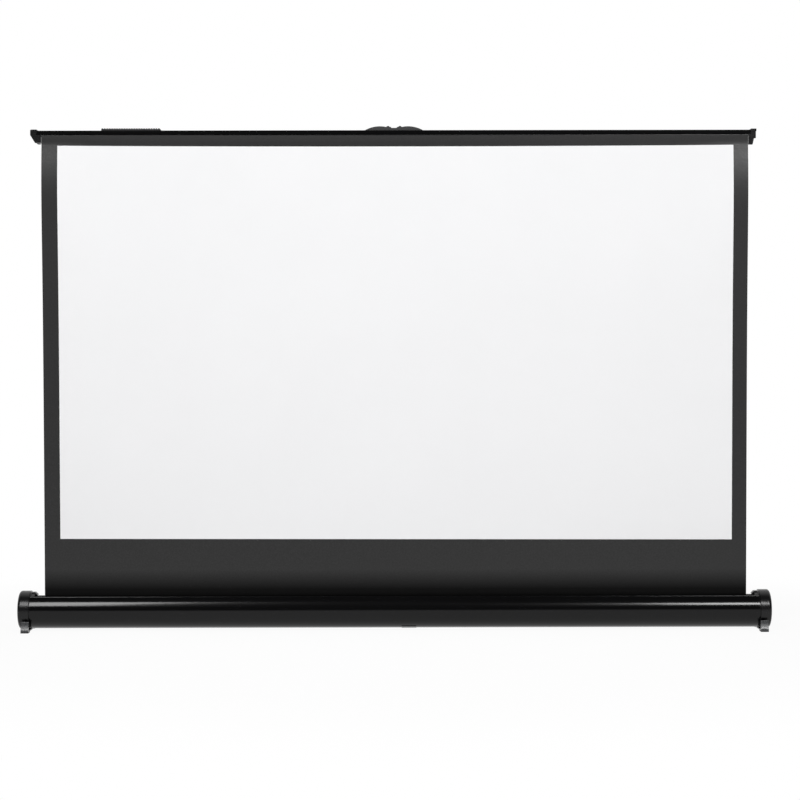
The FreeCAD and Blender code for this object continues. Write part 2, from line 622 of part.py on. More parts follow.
def base_bracket(rivet_holes):
    """Shelf over the roller, riveted to the tube's rear wall, with an ear for the lower pivots."""
    across = ("-plate_half", "plate_half")
    shelf_low = f"({SHELF_TOP} - plate_thick)"
    shelf = box(across, (EAR_Y, REAR_WALL_Y), (shelf_low, SHELF_TOP))
    ear = box(across, (EAR_Y, f"{EAR_Y} + plate_thick"), (shelf_low, f"{PIVOT_Z} + plate_margin"))
    wall = (f"{REAR_WALL_Y} - plate_thick", REAR_WALL_Y)
    flange = box(across, wall, (f"{shelf_low} - rear_flange", SHELF_TOP))
    holes = [
        rod(Y, (f"{side}pivot_half", EAR_Y, PIVOT_Z), "plate_thick", "pin_radius + seat_gap")
        for side in ("-", "+")
    ]
    node("arm_base_bracket", cut(fuse(shelf, ear, flange), *holes, *rivet_holes))
    seat_end = f"({LOWER_Y} + arm_thick / 2)"
    pivot_pins("base_pivot_pins", PIVOT_Z, EAR_Y, f"{LOWER_Y} + 2 * face_gap", f"{seat_end} - 2 * face_gap")


def top_bracket():
    """Cheek with the upper pivots, hung by its flange from the top bar."""
    across = ("-plate_half", "plate_half")
    back = f"({CHEEK_Y} + cheek_thick)"
    cheek = box(across, (CHEEK_Y, back), (f"{TOP_PIVOT_Z} - plate_margin", PLATE_Z))
    low = f"({PLATE_Z} - flange_thick)"
    flange = box(across, (f"{CHEEK_Y} - flange_front", f"{back} + flange_back"), (low, PLATE_Z))
    holes = [
        rod(Y, (f"{side}pivot_half", CHEEK_Y, TOP_PIVOT_Z), "cheek_thick", "pin_radius + seat_gap")
        for side in ("-", "+")
    ]
    screw_y = f"({back} + flange_back / 2)"
    screws = []
    for side in ("-", "+"):
        place = (f"{side}bracket_screw_spread", screw_y)
        head = rod(Z, (*place, f"{low} - screw_head"), "screw_head", "screw_head_radius")
        shank = rod(Z, (*place, low), "flange_thick + bar_plate / 2", "screw_radius")
        holes.append(rod(Z, (*place, low), "flange_thick", "screw_radius + seat_gap"))
        screws.append(fuse(head, shank))
    node("top_arm_bracket", cut(fuse(cheek, flange), *holes))
    node("top_bracket_screws", group(*screws))
    seat_start = f"({UPPER_Y} - arm_thick / 2)"
    head_start = f"{seat_start} + 2 * face_gap"
    pivot_pins("top_pivot_pins", TOP_PIVOT_Z, back, head_start, f"{UPPER_Y} - 2 * face_gap")
    return screw_y


def top_bar(bracket_screw_y):
    """Channel with a rear skirt, and a rail behind its front skirt that holds the fabric's hem."""
    roof = "bar_height - bar_plate"
    inner = "bar_rear - bar_skirt"
    rail = [f"{RAIL_Y} {side}" for side in ("-", "+")]
    outer = "(rail_half + rail_wall)"
    groove_top = "bar_groove_low + bar_groove_high"
    groove_back = "bar_groove_deep - bar_front"
    section = [
        ("-bar_front", "0"), (rail[0] + "rail_slot", "0"), (rail[0] + "rail_slot", "rail_lip"),
        (rail[0] + "rail_half", "rail_lip"), (rail[0] + "rail_half", roof),
        (rail[1] + "rail_half", roof), (rail[1] + "rail_half", "rail_lip"),
        (rail[1] + "rail_slot", "rail_lip"), (rail[1] + "rail_slot", "0"), (rail[1] + outer, "0"),
        (rail[1] + outer, roof), (inner, roof), (inner, "0"), ("bar_rear", "0"),
        ("bar_rear", "bar_height - bar_edge"), ("bar_rear - bar_edge", "bar_height"),
        ("bar_edge - bar_front", "bar_height"), ("-bar_front", "bar_height - bar_edge"),
        ("-bar_front", groove_top), (groove_back, groove_top), (groove_back, "bar_groove_low"),
        ("-bar_front", "bar_groove_low"),
    ]
    channel = prism("YZ_Plane", section, (0, 0, BAR_Z), BAR_LENGTH)
    holes = []
    screws = []
    for side in ("-", "+"):
        place = (f"{side}grip_screw_spread", "grip_screw_back")
        head = rod(Z, (*place, f"{PLATE_Z} - screw_head"), "screw_head", "screw_head_radius")
        shank = rod(Z, (*place, PLATE_Z), "bar_plate + grip_screw_bite", "screw_radius")
        screws.append(fuse(head, shank))
        holes.append(rod(Z, (*place, PLATE_Z), "bar_plate + grip_screw_bite", "screw_radius + seat_gap"))
        blind = (f"{side}bracket_screw_spread", bracket_screw_y, PLATE_Z)
        holes.append(rod(Z, blind, "bar_plate / 2 + seat_gap", "screw_radius + seat_gap"))
    node("top_bar_profile", cut(channel, *holes))
    node("grip_screws", group(*screws))
    return holes


def bar_caps():
    """Moulded ends of the top bar: a raised lip, a skirt that drops into the mouth, a tongue."""
    end = f"({BAR_END} + bar_cap_length)"
    lip_top = "bar_height + bar_cap_rise"
    side = [
        (BAR_END, "0"), (f"{BAR_END} + bar_cap_neck", "0"),
        (f"{BAR_END} + bar_cap_neck + bar_cap_slope", "bar_cap_under"),
        (end, "bar_cap_under"), (end, lip_top), (BAR_END, lip_top),
    ]
    middle = "(bar_rear - bar_front) / 2"
    lip = prism("XZ_Plane", side, (0, middle, BAR_Z), "bar_front + bar_rear + 2 * bar_cap_proud")
    inside = f"{BAR_END} - skirt_inside"
    outside = f"{BAR_END} + skirt_outside"
    skirt = box((inside, outside), ("-skirt_half", "skirt_half"), (f"{BAR_Z} - skirt_drop", BAR_Z))
    rail_back = f"{RAIL_Y} + rail_half + rail_wall + tongue_gap"
    channel = (rail_back, "bar_rear - bar_skirt - tongue_gap")
    tongue = box(
        (f"{BAR_END} - tongue_length", BAR_END), channel, (f"{BAR_Z} + tongue_gap", f"{PLATE_Z} - tongue_gap")
    )
    ribs = [
        box((inside, outside), (f"{y} - skirt_rib", f"{y} + skirt_rib"),
            (f"{BAR_Z} - skirt_drop - skirt_rib", f"{BAR_Z} - skirt_drop"))
        for y in ("-skirt_half / 2", "0", "skirt_half / 2")
    ]
    right = node("top_bar_right_cap", fuse(lip, skirt, tongue, *ribs))
    node("top_bar_left_cap", mirror(right))


def grip_and_pad(screw_holes):
    """Low arched grip with a notch between two bumps, and the ribbed pad at its left."""
    rise = "grip_rise"
    edge = [
        ("-grip_half", "0"), ("grip_half", "0"), ("grip_bump_out", rise), ("grip_bump_in", rise),
        ("grip_notch_half", rise), ("grip_notch_half", "grip_notch_rise"),
        ("-grip_notch_half", "grip_notch_rise"), ("-grip_notch_half", rise), ("-grip_bump_in", rise),
        ("-grip_bump_out", rise),
    ]
    arches = {
        1: ("grip_arch", -1), 2: ("grip_bump_round", -1), 8: ("grip_bump_round", -1), 9: ("grip_arch", -1),
    }
    grip = prism("XZ_Plane", edge, (0, 0, BAR_TOP), "grip_depth", arches)
    node("pull_grip", cut(grip, *screw_holes))
    count = round(value("pad_length / pad_pitch"))
    teeth = []
    for rib in range(count):
        left = f"{rib} * pad_pitch"
        teeth.append((f"{left} + pad_flank", "pad_base + pad_rib"))
        teeth.append((f"{left} + pad_flank + pad_crest", "pad_base + pad_rib"))
        teeth.append((f"{left} + 2 * pad_flank + pad_crest", "pad_base"))
        teeth.append((f"{left} + pad_pitch", "pad_base"))
    end = f"{count} * pad_pitch"
    edge = [(end, "0"), ("0", "0"), ("0", "pad_base"), *teeth]
    node("ribbed_pad", prism("XZ_Plane", edge, (f"pad_start - {BAR_END}", 0, BAR_TOP), "pad_depth"))


def feet():
    """Swivel bars under the end caps: a raised toe in front, rubber pads, a pivot screw, a washer."""
    toe_back = "toe_depth - foot_front"
    bare = "foot_front - pad_run"
    side = [
        ("-foot_front", "pad_thick"), ("foot_front", "pad_thick"), ("foot_front", FOOT_TOP),
        (toe_back, FOOT_TOP), (toe_back, "toe_top"), (f"{toe_back} - toe_crest / 2", "toe_top"),
        (f"{toe_back} - toe_crest", "toe_top - toe_crest / 2"), ("-foot_front", "pad_thick + toe_step"),
    ]
    rounds = {5: ("toe_crest / 2", -1), 6: ("toe_curve", 1)}
    bar = prism("YZ_Plane", side, (FOOT_X, 0, 0), "foot_width", rounds)
    bore = rod(Z, (FOOT_X, 0, "pad_thick"), "foot_thick", "pivot_screw_radius + running_gap")
    across = (f"{FOOT_X} - foot_width / 2", f"{FOOT_X} + foot_width / 2")
    pads = group(
        box(across, ("-foot_front", f"-({bare})"), ("0", "pad_thick")),
        box(across, (bare, "foot_front"), ("0", "pad_thick")),
    )
    flat_z = "(axis_height - cap_flat)"
    head_top = "(pad_thick - face_gap)"
    head_z = f"{head_top} - pivot_screw_head"
    head = rod(Z, (FOOT_X, 0, head_z), "pivot_screw_head", "pivot_screw_head_radius")
    shank_long = f"{flat_z} + pivot_screw_bite - {head_top}"
    shank = rod(Z, (FOOT_X, 0, head_top), shank_long, "pivot_screw_radius")
    washer_z = f"({FOOT_TOP} + face_gap)"
    disc = rod(Z, (FOOT_X, 0, washer_z), f"{flat_z} - {washer_z}", "foot_washer_radius")
    hole = rod(Z, (FOOT_X, 0, FOOT_TOP), f"{flat_z} - {FOOT_TOP}", "pivot_screw_radius + seat_gap")
    toe_place = (FOOT_X, f"{toe_back} - toe_crest - toe_screw_proud", "toe_top - toe_screw_drop")
    toe_long = "toe_crest + toe_screw_proud"
    toe_screw = rod(Y, toe_place, toe_long, "toe_screw_radius")
    toe_hole = rod(Y, toe_place, toe_long, "toe_screw_radius + seat_gap")
    pieces = {"foot": cut(bar, bore, toe_hole), "foot_pads": pads, "toe_screw": toe_screw}
    for name, piece in pieces.items():
        node(f"right_{name}", piece)
        node(f"left_{name}", mirror(piece))
    screw = fuse(head, shank)
    washer = cut(disc, hole)
    node("foot_pivot_screws", group(screw, mirror(screw)))
    node("foot_washers", group(washer, mirror(washer)))


cap_screw_holes = end_caps()
base_rivet_holes = rivets()
casing_tube(base_rivet_holes)
roller_brackets(cap_screw_holes)
roller()
spring()
fabric()
arms()
base_bracket(base_rivet_holes)
grip_screw_holes = top_bar(top_bracket())
bar_caps()
grip_and_pad(grip_screw_holes)
feet()
doc.recompute()

for item in doc.Objects:
    if {"Invalid", "Error"} & set(item.State):
        raise RuntimeError(f"{item.Label} failed: {item.State}")
for label, item in nodes.items():
    if item.Shape.isNull() or not item.Shape.isValid() or not item.Shape.Solids:
        raise RuntimeError(f"{label} has no valid solid")

os.makedirs("parts", exist_ok=True)
for label, item in nodes.items():
    item.Shape.exportStep(f"parts/{label}.step")
print(len(nodes), "nodes")
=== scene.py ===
"""Finishes, fabric and studio of a table-top pull-up projection screen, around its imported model.

Metres, in the model's own frame: +X to the viewer's right, the picture side faces -Y, +Z up.
"""
import json
import math

import bmesh
import bpy
from bpy.props import FloatProperty, FloatVectorProperty, IntProperty, PointerProperty
from mathutils import Matrix, Vector


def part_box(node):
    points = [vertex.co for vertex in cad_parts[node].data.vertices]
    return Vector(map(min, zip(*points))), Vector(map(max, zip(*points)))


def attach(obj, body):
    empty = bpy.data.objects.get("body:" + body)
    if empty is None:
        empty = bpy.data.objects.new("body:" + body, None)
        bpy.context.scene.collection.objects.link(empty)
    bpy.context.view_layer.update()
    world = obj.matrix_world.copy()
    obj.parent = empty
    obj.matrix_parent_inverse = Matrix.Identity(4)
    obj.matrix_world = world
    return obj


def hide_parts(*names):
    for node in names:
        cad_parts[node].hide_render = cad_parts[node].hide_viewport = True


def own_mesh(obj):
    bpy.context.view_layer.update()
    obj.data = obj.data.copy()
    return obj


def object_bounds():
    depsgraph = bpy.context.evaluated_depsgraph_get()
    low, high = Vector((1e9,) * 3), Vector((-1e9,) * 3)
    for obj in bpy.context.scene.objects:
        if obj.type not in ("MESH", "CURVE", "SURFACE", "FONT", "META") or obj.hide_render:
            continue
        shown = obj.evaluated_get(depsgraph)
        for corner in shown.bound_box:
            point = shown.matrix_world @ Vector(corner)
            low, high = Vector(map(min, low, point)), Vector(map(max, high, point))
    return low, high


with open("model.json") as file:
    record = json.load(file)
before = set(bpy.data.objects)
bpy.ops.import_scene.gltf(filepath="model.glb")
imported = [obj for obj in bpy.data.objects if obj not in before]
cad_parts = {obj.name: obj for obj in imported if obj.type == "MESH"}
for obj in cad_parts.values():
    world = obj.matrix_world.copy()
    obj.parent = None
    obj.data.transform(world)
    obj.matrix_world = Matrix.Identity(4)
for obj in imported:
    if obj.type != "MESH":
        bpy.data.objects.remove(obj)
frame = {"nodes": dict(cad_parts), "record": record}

bl_info = {
    "name": "Pull-up projection screen",
    "version": (1, 0, 0),
    "blender": (4, 5, 0),
    "location": "3D View > Sidebar > Screen",
    "description": "Dresses a table-top projection screen: cloth, extrusions, mouldings, steel and studio",
    "category": "Object",
}

CAD_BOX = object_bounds()
MM = 0.001
FABRIC_LOW, FABRIC_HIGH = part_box("screen_fabric")
WOUND_LOW, WOUND_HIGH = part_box("fabric_winding")
ROLLER_LOW, ROLLER_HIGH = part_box("roller_tube")
CASING_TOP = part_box("casing_tube")[1].z
BAR_LOW, BAR_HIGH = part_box("top_bar_profile")
BAR_CAP_END, _, BAR_CAP_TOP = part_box("top_bar_right_cap")[1]
SENSOR_MM = 36
FLOOR_GAP = 0.2 * MM
HEM_STEPS = 8
TURN_STEPS = 64


def linear(code):
    """An sRGB hex colour as linear red, green and blue."""
    shares = [int(code[at:at + 2], 16) / 255 for at in (1, 3, 5)]
    return [share / 12.92 if share <= 0.04045 else ((share + 0.055) / 1.055) ** 2.4 for share in shares]


def colour(name, description, code):
    return FloatVectorProperty(
        name=name, description=description, subtype="COLOR", size=3, min=0, max=1, default=linear(code)
    )


def length(name, description, default):
    return FloatProperty(
        name=name, description=description, subtype="DISTANCE", unit="LENGTH", precision=5, default=default
    )


def angle(name, description, degrees):
    return FloatProperty(
        name=name, description=description, subtype="ANGLE", unit="ROTATION", default=math.radians(degrees)
    )


def power(name, description, watts):
    return FloatProperty(name=name, description=description, unit="POWER", default=watts)


class FabricSettings(bpy.types.PropertyGroup):
    aside: length("Aside", "Sheet right of the middle", 1.2 * MM)
    left_border: length("Left border", "Black border left of the picture", 20.7 * MM)
    right_border: length("Right border", "Black border right of the picture", 19.1 * MM)
    picture_foot: length("Picture's lower edge", "White picture above the table", 119.4 * MM)
    picture_head: length("Picture's upper edge", "Top of the white picture above the table", 632.2 * MM)
    picture_sag: length("Picture's sag", "Middle of the picture's upper edge below its corners", 1.65 * MM)
    picture_skew: length("Picture's skew", "Left end of its lower edge above the middle", 1.2 * MM)
    hem: length("Hem", "Height of the hem under the top bar", 4 * MM)
    hem_bulge: length("Hem bulge", "How far the hem swells forward", 0.5 * MM)
    corner_puff: length("Corner puff", "How far the pulled upper corners swell forward", 5 * MM)
    corner_drop: length("Corner drop", "Fullest place of the corners' swell below the bar", 84 * MM)
    corner_flat: length("Corner flat", "Width of the swell at the sheet's edges", 20 * MM)
    corner_wide: length("Corner width", "The swell ends this far from the sheet's edges", 100 * MM)
    mesh_step: length("Mesh step", "Spacing of the sheet's rows and columns", 16 * MM)
    thick: length("Thickness", "Cloth, front to back", 0.4 * MM)
    edge_curl: length("Edge curl", "How far the free side edges lean back", 0.9 * MM)
    curl_share: FloatProperty(
        name="Curled share", description="Outer share of each half of the sheet that curls",
        subtype="FACTOR", default=0.2, min=0.01, max=1,
    )
    ripple: length("Ripple", "Depth of the sheet's shallow ripples", 0.12 * MM)
    turns_left: IntProperty(
        name="Turns left", description="Turns that stay on the roller", default=3, min=1
    )
    wound_share: FloatProperty(
        name="Wound share", description="Share of each turn's room that the cloth fills",
        subtype="FACTOR", default=0.9, min=0.1, max=1,
    )
    picture_white: colour("Picture", "Coated white of the viewing area", "#F3F3F4")
    border_black: colour("Border", "Printed black around the picture", "#080808")
    border_fleck: colour("Border grain", "Raised grain of the black print", "#181718")
    # Painted shade on the black print towards the casing's mouth: its dark colour, the height below which
    # it is full, and the height above which it ends
    mouth_shade_black: colour("Rubbed print", "Black print rubbed smooth at the casing's mouth", "#0C0C0C")
    mouth_shade_low: length("Rubbed below", "The print is wholly rubbed below this height", 54 * MM)
    mouth_shade_high: length("Rubbed up to", "The print is unrubbed above this height", 80 * MM)
    backing_black: colour("Backing", "Black cloth behind the picture", "#1B1B1D")


class FinishSettings(bpy.types.PropertyGroup):
    anodised: colour("Anodised", "Dyed oxide of the casing and the top bar", "#060607")
    plastic: colour("Plastic", "Moulded caps and catches", "#0A0A0B")
    grip: colour("Grip", "Matt moulding of the pull grip", "#3A3A3B")
    powder_coat: colour("Powder coat", "Arms, brackets and feet", "#3E3F41")
    zinc: colour("Zinc", "Plated pins, screws and spring", "#B4B8BC")
    aluminium: colour("Aluminium", "Bare roller tube", "#C6C8CA")
    rubber: colour("Rubber", "Foot pads and the ribbed pad", "#131313")


class TrimSettings(bpy.types.PropertyGroup):
    web_gap: length("Web gap", "Webs of the bar's caps beside the sheet's edges", 0.3 * MM)
    web_back: length("Web back", "Webs behind the bar's front", 0.6 * MM)
    web_deep: length("Web depth", "Webs, front to back", 4.8 * MM)
    left_reach: length("Left web's reach", "Left web beyond the end of its cap", 1.5 * MM)
    left_lip: length("Left web's lip", "Upright end of the left web below the bar", 0.5 * MM)
    left_drop: length("Left web's drop", "Foot of the left web below the bar", 10.7 * MM)
    right_inset: length("Right web's inset", "Right web inside the end of its cap", 0.5 * MM)
    right_step: length("Right web's step", "Step of the right web below the bar", 5.8 * MM)
    right_shelf: length("Right web's shelf", "Inner end of the step inside the end of the cap", 2.9 * MM)
    right_drop: length("Right web's drop", "Foot of the right web below the bar", 14 * MM)
    web_foot: length("Web foot", "Feet of the webs inside the ends of the caps", 4.7 * MM)
    edge_round: length("Edge round", "Rounded edges of the small mouldings", 0.35 * MM)


class StudioSettings(bpy.types.PropertyGroup):
    camera_back: length("Camera distance", "Camera in front of the screen", 2.605)
    camera_height: length("Camera height", "Camera above the table", 0.364)
    camera_turn: angle("Camera turn", "Camera turned to the right", 0.16)
    camera_dip: angle("Camera dip", "Camera tipped down", 1.384)
    camera_roll: angle("Camera roll", "Camera rolled to the left", -0.1)
    focal: FloatProperty(
        name="Focal length", description=f"On a {SENSOR_MM} mm sensor", unit="CAMERA", default=89.68
    )
    box_width: length("Softbox width", "Each softbox, side to side", 0.5)
    box_aside: length("Softbox aside", "Softboxes left and right of the middle", 0.97)
    box_before: length("Softbox before", "Softboxes in front of the screen", 2.2)
    left_tall: length("Left softbox height", "Left softbox, bottom to top", 1.25)
    left_up: length("Left softbox up", "Middle of the left softbox above the table", 2.04)
    left_power: power("Left softbox power", "Tall softbox", 35)
    right_tall: length("Right softbox height", "Right softbox, bottom to top", 0.5)
    right_up: length("Right softbox up", "Middle of the right softbox above the table", 1.65)
    right_power: power("Right softbox power", "Low softbox", 23.5)
    fill: FloatProperty(name="Fill", description="Light of the room", default=0.24, min=0)
    gloss_fill: FloatProperty(
        name="Gloss fill", description="The dim room behind the camera, as shiny pieces mirror it",
        default=0.1, min=0,
    )
    floor_size: length("Floor", "Side of the square floor", 24)
    floor_pale: colour("Floor", "Pale studio floor", "#F4F4F4")
    floor_lift: FloatProperty(
        name="Floor lift", description="Share of plain white in the floor by the object, as it is seen",
        subtype="FACTOR", default=0.94, min=0, max=1,
    )
    floor_near: length("Floor near", "The floor keeps its shadows within this distance of the middle", 0.5)
    floor_far: length("Floor far", "The floor is plain white from this distance", 0.9)


def settings(kind):
    """The scene's own values for the fabric, the finishes, the trim or the studio."""
    return getattr(bpy.context.scene, f"screen_{kind}")


def add_node(tree, kind, inputs=None, **fields):
    """Adds a node, sets its fields, and fills or links its sockets; a link is (node, output)."""
    item = tree.nodes.new(f"ShaderNode{kind}")
    for field, entry in fields.items():
        setattr(item, field, entry)
    for socket, entry in (inputs or {}).items():
        if isinstance(entry, tuple) and isinstance(entry[0], bpy.types.Node):
            tree.links.new(entry[0].outputs[entry[1]], item.inputs[socket])
        else:
            item.inputs[socket].default_value = entry
    return item


def new_material(name):
    material = bpy.data.materials.new(name)
    material.use_nodes = True
    material.node_tree.nodes.clear()
    return material, material.node_tree


def finish_shader(tree, **sockets):
    """Adds the surface shader and the output; low lines in a socket's name stand for spaces."""
    inputs = {name.replace("_", " "): entry for name, entry in sockets.items()}
    shader = add_node(tree, "BsdfPrincipled", inputs)
    add_node(tree, "OutputMaterial", {"Surface": (shader, "BSDF")})


def rgba(shade):
    return (*shade, 1)


def grain(tree, size_mm, detail=2.0, stretch=(1, 1, 1)):
    """Noise in the piece's own space, with features of a size in millimetres along each axis."""
    place = add_node(tree, "TexCoord")
    scale = [1 / (size_mm * MM * share) for share in stretch]
    spread = add_node(tree, "Mapping", {"Vector": (place, "Object"), "Scale": scale})
    return add_node(tree, "TexNoise", {"Vector": (spread, "Vector"), "Scale": 1.0, "Detail": detail})


def between(tree, source, low, high, start=0.3, end=0.7):
    """A noise's middle range spread between two numbers."""
    return add_node(tree, "MapRange", {
        "Value": (source, 0), "From Min": start, "From Max": end, "To Min": low, "To Max": high,
    })


def tint(tree, source, one, two):
    """Two colours mixed by a number from 0 to 1."""
    return add_node(
        tree, "Mix", {"Factor": (source, 0), "A": rgba(one), "B": rgba(two)}, data_type="RGBA"
    )


def relief(tree, source, depth_mm, strength=1.0):
    return add_node(tree, "Bump", {"Height": (source, 0), "Distance": depth_mm * MM, "Strength": strength})


def darker(shade, share):
    return [part * share for part in shade]


def cloth_white(fabric):
    """PVC-coated screen cloth, calendered matt: an even white that spreads light, with a faint emboss."""
    material, tree = new_material("pvc_screen_cloth_matt_white")
    # The real emboss is near 0.3 mm and too fine to show, so it is drawn at 1.2 mm
    emboss = grain(tree, 1.2)
    mottle = between(tree, grain(tree, 160, detail=3.0), 0, 1)
    mixed = tint(tree, mottle, fabric.picture_white, darker(fabric.picture_white, 0.985))
    finish_shader(
        tree, Base_Color=(mixed, "Result"), Roughness=0.82, Specular_IOR_Level=0.3,
        Normal=(relief(tree, emboss, 0.02, 0.4), "Normal"),
    )
    return material


def cloth_border(fabric):
    """Black print on the same coated cloth: a satin black with a leathery grain that catches light."""
    material, tree = new_material("pvc_screen_cloth_black_print")
    pebble = grain(tree, 1.9, detail=4.0)
    fleck = between(tree, pebble, 0, 1, 0.38, 0.72)
    printed = tint(tree, fleck, fabric.border_black, fabric.border_fleck)
    # Painted shade: the print turns darker and less shiny towards the casing's lip, between two set heights
    place = add_node(tree, "TexCoord")
    height = add_node(tree, "SeparateXYZ", {0: (place, "Object")})
    mouth_shade = add_node(tree, "MapRange", {
        "Value": (height, "Z"), "From Min": fabric.mouth_shade_high, "From Max": fabric.mouth_shade_low,
    })
    mixed = add_node(tree, "Mix", {
        "Factor": (mouth_shade, 0), "A": (printed, "Result"), "B": rgba(fabric.mouth_shade_black),
    }, data_type="RGBA")
    shine = add_node(tree, "MapRange", {"Value": (mouth_shade, 0), "To Min": 0.56, "To Max": 0.06})
    finish_shader(
        tree, Base_Color=(mixed, "Result"), Roughness=(between(tree, pebble, 0.42, 0.3), 0),
        Specular_IOR_Level=(shine, 0), Normal=(relief(tree, pebble, 0.16, 0.45), "Normal"),
    )
    return material


def cloth_backing(fabric):
    """Woven black backing of the cloth: threads about 0.7 mm apart under a dull, slightly fuzzy skin."""
    material, tree = new_material("polyester_backing_woven_black")
    place = add_node(tree, "TexCoord")
    # Threads at 0.7 mm are finer than a pixel, so the weave is drawn at 1.4 mm
    threads = []
    for axis in ("X", "Z"):
        wave = add_node(
            tree, "TexWave", {"Vector": (place, "Object"), "Scale": 0.314 / (1.4 * MM), "Distortion": 0.4},
            bands_direction=axis,
        )
        threads.append(wave)
    weave = add_node(tree, "Math", {0: (threads[0], 1), 1: (threads[1], 1)}, operation="MULTIPLY")
    mixed = tint(tree, weave, darker(fabric.backing_black, 0.75), fabric.backing_black)
    finish_shader(
        tree, Base_Color=(mixed, "Result"), Roughness=0.88, Specular_IOR_Level=0.25, Sheen_Weight=0.08,
        Normal=(relief(tree, weave, 0.1, 0.5), "Normal"),
    )
    return material


def anodised_extrusion(finish):
    """Black anodised aluminium, extruded: satin black with fine die lines that draw lights into streaks."""
    material, tree = new_material("aluminium_extruded_black_anodised")
    # Die lines run along the profile; the finest are drawn at 0.9 mm so that they show
    lines = grain(tree, 0.9, detail=2.0, stretch=(600, 1, 1))
    cloud = grain(tree, 45, detail=3.0, stretch=(4, 1, 1))
    mixed = tint(tree, between(tree, cloud, 0, 1), finish.anodised, darker(finish.anodised, 0.7))
    rough = between(tree, lines, 0.13, 0.17)
    finish_shader(
        tree, Base_Color=(mixed, "Result"), Roughness=(rough, 0), Specular_IOR_Level=0.25,
        Normal=(relief(tree, lines, 0.01, 0.25), "Normal"),
    )
    return material


def moulded_plastic(finish):
    """Black ABS, moulded in a spark-eroded tool: a fine even texture with a soft, broad shine."""
    material, tree = new_material("abs_moulded_black_textured")
    texture = grain(tree, 0.7, detail=3.0)
    cloud = between(tree, grain(tree, 12, detail=2.0), 0, 1)
    mixed = tint(tree, cloud, finish.plastic, darker(finish.plastic, 0.8))
    rough = between(tree, texture, 0.23, 0.3)
    finish_shader(
        tree, Base_Color=(mixed, "Result"), Roughness=(rough, 0), Specular_IOR_Level=0.31,
        Normal=(relief(tree, texture, 0.05, 0.5), "Normal"),
    )
    return material


def matt_plastic(finish):
    """Black ABS, moulded in a coarse spark-eroded tool: a matt dark grey that evens out the light."""
    material, tree = new_material("abs_moulded_black_matt")
    texture = grain(tree, 1.1, detail=4.0)
    mixed = tint(tree, between(tree, texture, 0, 1), finish.grip, darker(finish.grip, 0.8))
    finish_shader(
        tree, Base_Color=(mixed, "Result"), Roughness=(between(tree, texture, 0.5, 0.62), 0),
        Specular_IOR_Level=0.3, Normal=(relief(tree, texture, 0.06, 0.6), "Normal"),
    )
    return material


def powder_coated_steel(finish):
    """Powder-coated sheet steel: satin black paint with the slight orange peel of the oven."""
    material, tree = new_material("steel_powder_coated_black")
    peel = grain(tree, 2.2, detail=1.0)
    mixed = tint(tree, between(tree, peel, 0, 1), finish.powder_coat, darker(finish.powder_coat, 0.85))
    finish_shader(
        tree, Base_Color=(mixed, "Result"), Roughness=(between(tree, peel, 0.26, 0.34), 0), IOR=1.5,
        Normal=(relief(tree, peel, 0.06, 0.5), "Normal"),
    )
    return material


def zinc_plated_steel(finish):
    """Zinc-plated steel, turned or headed: bright grey metal with a faintly cloudy passivated skin."""
    material, tree = new_material("steel_zinc_plated_bright")
    cloud = grain(tree, 2.5, detail=3.0)
    mixed = tint(tree, between(tree, cloud, 0, 1), finish.zinc, darker(finish.zinc, 0.82))
    finish_shader(
        tree, Base_Color=(mixed, "Result"), Metallic=1.0, Roughness=(between(tree, cloud, 0.24, 0.38), 0),
        Normal=(relief(tree, grain(tree, 0.5), 0.02, 0.3), "Normal"),
    )
    return material


def mill_aluminium(finish):
    """Bare drawn aluminium tube: soft grey metal with long drawing lines."""
    material, tree = new_material("aluminium_drawn_mill_finish")
    lines = grain(tree, 0.5, detail=2.0, stretch=(300, 1, 1))
    mixed = tint(tree, between(tree, lines, 0, 1), finish.aluminium, darker(finish.aluminium, 0.85))
    finish_shader(
        tree, Base_Color=(mixed, "Result"), Metallic=1.0, Roughness=(between(tree, lines, 0.3, 0.42), 0),
        Normal=(relief(tree, lines, 0.02, 0.4), "Normal"),
    )
    return material


def moulded_rubber(finish):
    """Moulded rubber: dull black that scatters light, with a dusty bloom in its pores."""
    material, tree = new_material("rubber_moulded_black")
    pores = grain(tree, 0.6, detail=3.0)
    bloom = between(tree, grain(tree, 6, detail=3.0), 0, 1)
    mixed = tint(tree, bloom, finish.rubber, [part + 0.006 for part in finish.rubber])
    finish_shader(
        tree, Base_Color=(mixed, "Result"), Roughness=0.78, IOR=1.5,
        Normal=(relief(tree, pores, 0.06, 0.6), "Normal"),
    )
    return material


MAKERS = {
    "white": (cloth_white, "fabric"),
    "border": (cloth_border, "fabric"),
    "backing": (cloth_backing, "fabric"),
    "anodised": (anodised_extrusion, "finish"),
    "plastic": (moulded_plastic, "finish"),
    "matt": (matt_plastic, "finish"),
    "powder": (powder_coated_steel, "finish"),
    "zinc": (zinc_plated_steel, "finish"),
    "aluminium": (mill_aluminium, "finish"),
    "rubber": (moulded_rubber, "finish"),
}
made = {}


def material_for(kind):
    """The named finish, made once."""
    if kind not in made:
        maker, group = MAKERS[kind]
        made[kind] = maker(settings(group))
    return made[kind]


def dress(kind, *names):
    """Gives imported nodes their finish."""
    for name in names:
        materials = frame["nodes"][name].data.materials
        materials.clear()
        materials.append(material_for(kind))


def new_piece(name, mesh_tool, kinds):
    """A mesh object from a bmesh, with its finishes in order."""
    mesh = bpy.data.meshes.new(name)
    mesh_tool.to_mesh(mesh)
    mesh_tool.free()
    for kind in kinds:
        mesh.materials.append(material_for(kind))
    piece = bpy.data.objects.new(name, mesh)
    bpy.context.scene.collection.objects.link(piece)
    return piece


def add_prism(tool, outline, front, back):
    """Adds a closed block with an outline in X and Z between two places in Y."""
    rings = [[tool.verts.new((x, y, z)) for x, z in outline] for y in (front, back)]
    faces = [tool.faces.new(ring) for ring in rings]
    for at in range(len(outline)):
        faces.append(tool.faces.new((rings[0][at - 1], rings[0][at], rings[1][at], rings[1][at - 1])))
    bmesh.ops.recalc_face_normals(tool, faces=faces)


